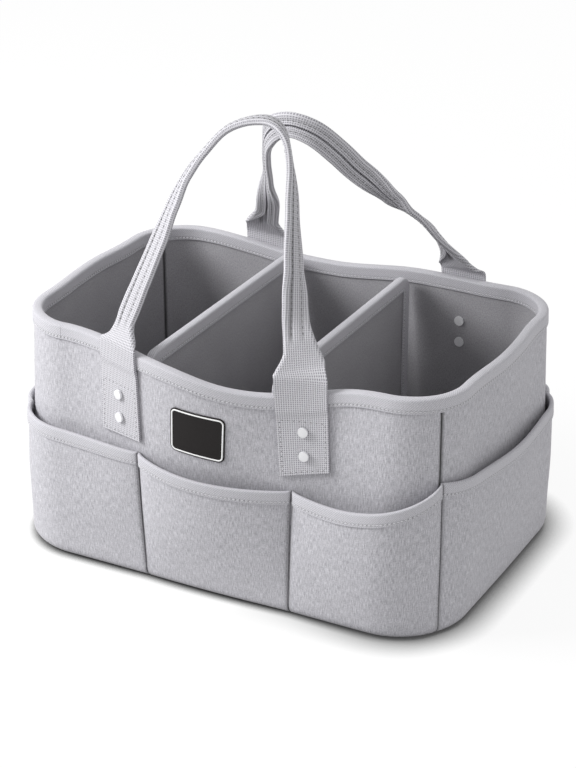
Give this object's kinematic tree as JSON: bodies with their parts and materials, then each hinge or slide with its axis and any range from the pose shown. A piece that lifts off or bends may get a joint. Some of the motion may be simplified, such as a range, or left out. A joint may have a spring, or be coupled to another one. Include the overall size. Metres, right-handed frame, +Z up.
{
  "type": "diaper caddy",
  "caption": "Open fabric storage caddy with outer pockets, lift-out dividers and two riveted webbing carry handles that swing outwards.",
  "frame": {"origin": "middle of the flat underside, where the caddy rests", "axes": "+X along the length to the right end, -Y towards the front wall with the label, +Z up"},
  "size_m": [0.3946, 0.2907, 0.3599],
  "materials": {
    "cloth": "light grey melange cloth",
    "binding": "pale grey twill tape",
    "lining": "grey brushed lining cloth",
    "board": "plain stiffening board",
    "webbing": "grey ribbed webbing",
    "rubber": "soft black moulded rubber",
    "line": "white moulded rubber",
    "hook": "grey hook tape",
    "metal": "satin silver"
  },
  "bodies": {
    "root": {"outer_front_panel": "cloth", "outer_right_panel": "cloth", "outer_back_panel": "cloth", "outer_left_panel": "cloth", "outer_base": "cloth", "front_stiffener": "board", "right_stiffener": "board", "back_stiffener": "board", "left_stiffener": "board", "base_board": "board", "lining_front_panel": "lining", "lining_right_panel": "lining", "lining_back_panel": "lining", "lining_left_panel": "lining", "lining_floor": "lining", "rim_binding": "binding", "front_left_pocket": "cloth", "front_middle_pocket": "cloth", "front_right_pocket": "cloth", "right_end_pocket": "cloth", "back_right_pocket": "cloth", "back_middle_pocket": "cloth", "back_left_pocket": "cloth", "left_end_pocket": "cloth", "front_left_pocket_binding": "binding", "front_middle_pocket_binding": "binding", "front_right_pocket_binding": "binding", "right_end_pocket_binding": "binding", "back_right_pocket_binding": "binding", "back_middle_pocket_binding": "binding", "back_left_pocket_binding": "binding", "left_end_pocket_binding": "binding", "label_patch": "rubber", "label_line": "line", "front_left_strap_foot": "webbing", "front_right_strap_foot": "webbing", "back_left_strap_foot": "webbing", "back_right_strap_foot": "webbing", "front_left_upper_rivet": "metal", "front_left_lower_rivet": "metal", "front_right_upper_rivet": "metal", "front_right_lower_rivet": "metal", "back_left_upper_rivet": "metal", "back_left_lower_rivet": "metal", "back_right_upper_rivet": "metal", "back_right_lower_rivet": "metal"},
    "front_handle_strap": {"front_handle": "webbing"},
    "back_handle_strap": {"back_handle": "webbing"},
    "left_divider": {"left_divider_panel": "lining", "left_divider_binding": "binding", "left_divider_front_hook_tape": "hook", "left_divider_back_hook_tape": "hook"},
    "right_divider": {"right_divider_panel": "lining", "right_divider_binding": "binding", "right_divider_front_hook_tape": "hook", "right_divider_back_hook_tape": "hook"}
  },
  "joints": [
    {"name": "front_handle_swing", "type": "hinge", "parent": "root", "child": "front_handle_strap", "pos_m": [0.00056, -0.13604, 0.1927], "axis": [0.9965, 0.0837, 0], "range_deg": [0, 185]},
    {"name": "back_handle_swing", "type": "hinge", "parent": "root", "child": "back_handle_strap", "pos_m": [0.0065, 0.11926, 0.1927], "axis": [-1, 0.0024, 0], "range_deg": [0, 190]},
    {"name": "left_divider_lift", "type": "slide", "parent": "root", "child": "left_divider", "axis": [0, 0, 1], "range_m": [0, 0.03]},
    {"name": "right_divider_lift", "type": "slide", "parent": "root", "child": "right_divider", "axis": [0, 0, 1], "range_m": [0, 0.03]}
  ]
}
